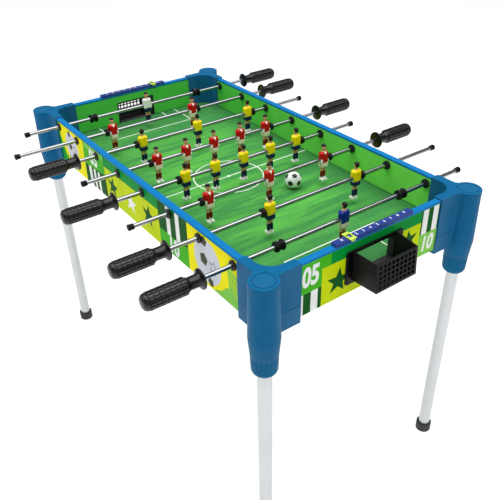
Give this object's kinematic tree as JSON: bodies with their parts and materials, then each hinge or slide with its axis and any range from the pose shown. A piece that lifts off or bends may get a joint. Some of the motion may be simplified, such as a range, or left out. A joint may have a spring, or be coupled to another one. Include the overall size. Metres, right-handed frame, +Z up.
{
  "type": "foosball table",
  "caption": "Compact foosball table on slim round legs: printed panels, blue corner casings, sliding and spinning player rods, end goals and score counters.",
  "frame": {"origin": "on the floor under the middle of the table", "axes": "+X along the table from the left goal to the right goal, +Y across it towards the back long side, +Z up"},
  "size_m": [0.776, 0.624, 0.516],
  "materials": {
    "field_green": "printed green board with white pitch lines",
    "panel_print": "board with a printed green and yellow foil",
    "trim_blue": "bright blue extruded rail",
    "casing_blue": "blue moulded plastic, satin",
    "leg_silver": "silver-white coated tube",
    "black_rubber": "matt black",
    "black_plastic": "black moulded plastic",
    "counter_blue": "violet-blue bar with white figures",
    "slider_lime": "lime green moulded plastic",
    "screw_steel": "zinc-plated",
    "rod_steel": "bright plated tube",
    "grip_black": "ribbed black grip, slight sheen",
    "team_red": "painted players, red shirts",
    "team_yellow": "painted players, yellow shirts",
    "keeper_white": "painted keeper, white shirt",
    "keeper_blue": "painted keeper, blue shirt",
    "ball_white": "white ball with black patches"
  },
  "bodies": {
    "table": {"playfield": "field_green", "side_panel_front": "panel_print", "side_panel_back": "panel_print", "end_panel_left": "panel_print", "end_panel_right": "panel_print", "side_trim_front": "trim_blue", "side_trim_back": "trim_blue", "end_trim_left": "trim_blue", "end_trim_right": "trim_blue", "corner_casing_front_left": "casing_blue", "corner_casing_front_right": "casing_blue", "corner_casing_back_left": "casing_blue", "corner_casing_back_right": "casing_blue", "leg_tubes": "leg_silver", "foot_caps": "black_rubber", "goal_box_left": "black_plastic", "goal_box_right": "black_plastic", "score_bar_left": "counter_blue", "score_bar_right": "counter_blue", "rod_bushings": "black_plastic", "casing_screws": "screw_steel"},
    "rod_1_carriage": {"rod_1_stops": "black_rubber"},
    "rod_1_spindle": {"rod_1_tube": "rod_steel", "rod_1_figures": "keeper_white", "rod_1_grip": "grip_black"},
    "rod_2_carriage": {"rod_2_stops": "black_rubber"},
    "rod_2_spindle": {"rod_2_tube": "rod_steel", "rod_2_figures": "team_red", "rod_2_grip": "grip_black"},
    "rod_3_carriage": {"rod_3_stops": "black_rubber"},
    "rod_3_spindle": {"rod_3_tube": "rod_steel", "rod_3_figures": "team_yellow", "rod_3_grip": "grip_black"},
    "rod_4_carriage": {"rod_4_stops": "black_rubber"},
    "rod_4_spindle": {"rod_4_tube": "rod_steel", "rod_4_figures": "team_red", "rod_4_grip": "grip_black"},
    "rod_5_carriage": {"rod_5_stops": "black_rubber"},
    "rod_5_spindle": {"rod_5_tube": "rod_steel", "rod_5_figures": "team_yellow", "rod_5_grip": "grip_black"},
    "rod_6_carriage": {"rod_6_stops": "black_rubber"},
    "rod_6_spindle": {"rod_6_tube": "rod_steel", "rod_6_figures": "team_red", "rod_6_grip": "grip_black"},
    "rod_7_carriage": {"rod_7_stops": "black_rubber"},
    "rod_7_spindle": {"rod_7_tube": "rod_steel", "rod_7_figures": "team_yellow", "rod_7_grip": "grip_black"},
    "rod_8_carriage": {"rod_8_stops": "black_rubber"},
    "rod_8_spindle": {"rod_8_tube": "rod_steel", "rod_8_figures": "keeper_blue", "rod_8_grip": "grip_black"},
    "slider_left": {"score_slider_left": "slider_lime"},
    "slider_right": {"score_slider_right": "slider_lime"},
    "collar_front_left": {"leg_collar_front_left": "casing_blue"},
    "collar_front_right": {"leg_collar_front_right": "casing_blue"},
    "collar_back_left": {"leg_collar_back_left": "casing_blue"},
    "collar_back_right": {"leg_collar_back_right": "casing_blue"},
    "loose_ball": {"ball": "ball_white"}
  },
  "joints": [
    {"name": "rod_1_slide", "type": "slide", "parent": "table", "child": "rod_1_carriage", "axis": [0, 1, 0], "range_m": [-0.0452, 0.0497]},
    {"name": "rod_1_spin", "type": "hinge", "parent": "rod_1_carriage", "child": "rod_1_spindle", "pos_m": [-0.28, 0, 0.49], "axis": [0, 1, 0], "continuous": true},
    {"name": "rod_2_slide", "type": "slide", "parent": "table", "child": "rod_2_carriage", "axis": [0, 1, 0], "range_m": [-0.0352, 0.0982]},
    {"name": "rod_2_spin", "type": "hinge", "parent": "rod_2_carriage", "child": "rod_2_spindle", "pos_m": [-0.2, 0, 0.49], "axis": [0, 1, 0], "continuous": true},
    {"name": "rod_3_slide", "type": "slide", "parent": "table", "child": "rod_3_carriage", "axis": [0, 1, 0], "range_m": [-0.0579, 0.0259]},
    {"name": "rod_3_spin", "type": "hinge", "parent": "rod_3_carriage", "child": "rod_3_spindle", "pos_m": [-0.12, 0, 0.49], "axis": [0, 1, 0], "continuous": true},
    {"name": "rod_4_slide", "type": "slide", "parent": "table", "child": "rod_4_carriage", "axis": [0, 1, 0], "range_m": [-0.0418, 0.0438]},
    {"name": "rod_4_spin", "type": "hinge", "parent": "rod_4_carriage", "child": "rod_4_spindle", "pos_m": [-0.04, 0, 0.49], "axis": [0, 1, 0], "continuous": true},
    {"name": "rod_5_slide", "type": "slide", "parent": "table", "child": "rod_5_carriage", "axis": [0, 1, 0], "range_m": [-0.0473, 0.0383]},
    {"name": "rod_5_spin", "type": "hinge", "parent": "rod_5_carriage", "child": "rod_5_spindle", "pos_m": [0.04, 0, 0.49], "axis": [0, 1, 0], "continuous": true},
    {"name": "rod_6_slide", "type": "slide", "parent": "table", "child": "rod_6_carriage", "axis": [0, 1, 0], "range_m": [-0.0379, 0.0459]},
    {"name": "rod_6_spin", "type": "hinge", "parent": "rod_6_carriage", "child": "rod_6_spindle", "pos_m": [0.12, 0, 0.49], "axis": [0, 1, 0], "continuous": true},
    {"name": "rod_7_slide", "type": "slide", "parent": "table", "child": "rod_7_carriage", "axis": [0, 1, 0], "range_m": [-0.0882, 0.0452]},
    {"name": "rod_7_spin", "type": "hinge", "parent": "rod_7_carriage", "child": "rod_7_spindle", "pos_m": [0.2, 0, 0.49], "axis": [0, 1, 0], "continuous": true},
    {"name": "rod_8_slide", "type": "slide", "parent": "table", "child": "rod_8_carriage", "axis": [0, 1, 0], "range_m": [-0.0512, 0.0437]},
    {"name": "rod_8_spin", "type": "hinge", "parent": "rod_8_carriage", "child": "rod_8_spindle", "pos_m": [0.28, 0, 0.49], "axis": [0, 1, 0], "continuous": true},
    {"name": "score_slider_left_slide", "type": "slide", "parent": "table", "child": "slider_left", "axis": [0, 1, 0], "range_m": [-0.1008, 0.0126]},
    {"name": "score_slider_right_slide", "type": "slide", "parent": "table", "child": "slider_right", "axis": [0, 1, 0], "range_m": [-0.0126, 0.1008]},
    {"name": "leg_collar_front_left_turn", "type": "hinge", "parent": "table", "child": "collar_front_left", "pos_m": [-0.3455, -0.1845, 0.38], "axis": [0, 0, 1], "range_deg": [0, 90]},
    {"name": "leg_collar_front_right_turn", "type": "hinge", "parent": "table", "child": "collar_front_right", "pos_m": [0.3455, -0.1845, 0.38], "axis": [0, 0, 1], "range_deg": [0, 90]},
    {"name": "leg_collar_back_left_turn", "type": "hinge", "parent": "table", "child": "collar_back_left", "pos_m": [-0.3455, 0.1845, 0.38], "axis": [0, 0, 1], "range_deg": [0, 90]},
    {"name": "leg_collar_back_right_turn", "type": "hinge", "parent": "table", "child": "collar_back_right", "pos_m": [0.3455, 0.1845, 0.38], "axis": [0, 0, 1], "range_deg": [0, 90]},
    {"name": "ball_roll_across", "type": "slide", "parent": "table", "child": "loose_ball", "axis": [0, 1, 0], "range_m": [-0.2185, 0.0965]}
  ]
}
